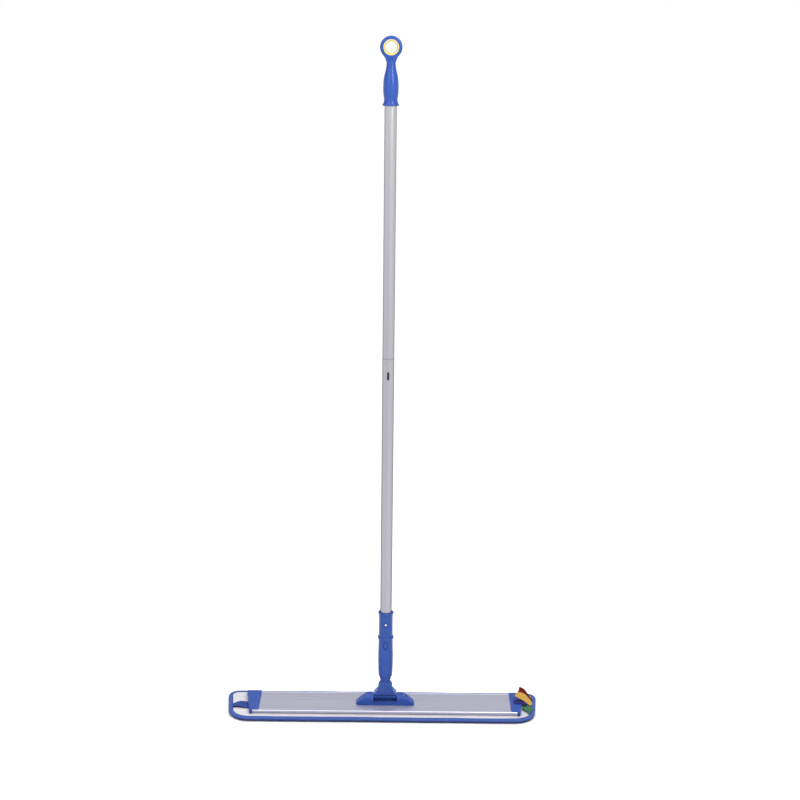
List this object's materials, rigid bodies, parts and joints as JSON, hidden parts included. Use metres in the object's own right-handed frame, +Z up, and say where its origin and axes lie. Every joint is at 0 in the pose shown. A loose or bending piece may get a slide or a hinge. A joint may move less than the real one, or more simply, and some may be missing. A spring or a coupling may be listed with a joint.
{
  "type": "flat mop",
  "caption": "Flat floor mop: aluminium head plate with hook tape over a bound textile pad, two-axis swivel joint, quick-release socket and a two-piece pole with a hanging eye.",
  "frame": {"origin": "on the floor under the upright pole's axis", "axes": "+X along the mop head towards the colour tags, +Y to the back edge of the head, +Z up the pole"},
  "size_m": [0.665, 0.136, 1.411],
  "materials": {
    "pile_fabric": "white looped microfibre pile",
    "core_fabric": "grey-white needle felt",
    "backing_fabric": "off-white brushed loop backing",
    "binding_tape": "blue woven edge tape, stitched",
    "strap_webbing": "dark blue polyester webbing",
    "tag_yellow_cloth": "yellow satin ribbon",
    "tag_red_cloth": "dark red satin ribbon",
    "tag_green_cloth": "green satin ribbon",
    "tag_blue_cloth": "dark blue satin ribbon",
    "extrusion": "satin anodised extrusion",
    "hook_tape": "black woven hook tape",
    "blue_plastic": "moulded blue, slightly glossy",
    "yellow_plastic": "moulded pale yellow",
    "dark_plastic": "moulded dark grey",
    "pole_aluminium": "satin anodised tube",
    "steel": "zinc plated",
    "spring_steel": "blued spring steel"
  },
  "bodies": {
    "pad": {"pad_pile": "pile_fabric", "pad_core": "core_fabric", "pad_backing": "backing_fabric", "pad_binding": "binding_tape", "pull_strap": "strap_webbing", "tag_yellow": "tag_yellow_cloth", "tag_red": "tag_red_cloth", "tag_green": "tag_green_cloth", "tag_blue": "tag_blue_cloth"},
    "frame": {"frame_plate": "extrusion", "hook_strip_front": "hook_tape", "hook_strip_rear": "hook_tape", "end_cap_left": "blue_plastic", "end_cap_right": "blue_plastic", "end_cap_screws": "steel", "hinge_bracket": "blue_plastic", "bracket_screws": "steel", "pitch_pin": "steel"},
    "knuckle": {"knuckle": "blue_plastic"},
    "handle": {"neck_socket": "blue_plastic", "side_pin": "steel", "pole_adapter": "blue_plastic", "adapter_screw": "steel", "button_spring": "spring_steel", "lower_tube": "pole_aluminium", "pole_coupler": "dark_plastic", "coupler_rivet": "steel", "snap_spring": "spring_steel", "upper_tube": "pole_aluminium", "hanging_grip": "blue_plastic", "eye_insert": "yellow_plastic"},
    "release_button": {"release_button": "blue_plastic"},
    "snap_button": {"snap_button": "dark_plastic"}
  },
  "joints": [
    {"name": "frame_lift", "type": "slide", "parent": "pad", "child": "frame", "axis": [0, 0, 1], "range_m": [0, 0.06], "deforming": ["tag_yellow", "tag_red", "tag_green", "tag_blue"]},
    {"name": "mop_pitch", "type": "hinge", "parent": "frame", "child": "knuckle", "pos_m": [0, 0, 0.0305], "axis": [1, 0, 0], "range_deg": [-80, 80]},
    {"name": "mop_roll", "type": "hinge", "parent": "knuckle", "child": "handle", "pos_m": [0, 0, 0.052], "axis": [0, 1, 0], "range_deg": [-60, 60]},
    {"name": "release_press", "type": "slide", "parent": "handle", "child": "release_button", "axis": [0, 1, 0], "range_m": [0, 0.003], "stiffness_N_per_m": 800, "springref_m": -0.002, "deforming": ["button_spring"]},
    {"name": "snap_press", "type": "slide", "parent": "handle", "child": "snap_button", "axis": [0, 1, 0], "range_m": [0, 0.003], "stiffness_N_per_m": 800, "springref_m": -0.002, "deforming": ["snap_spring"]}
  ]
}
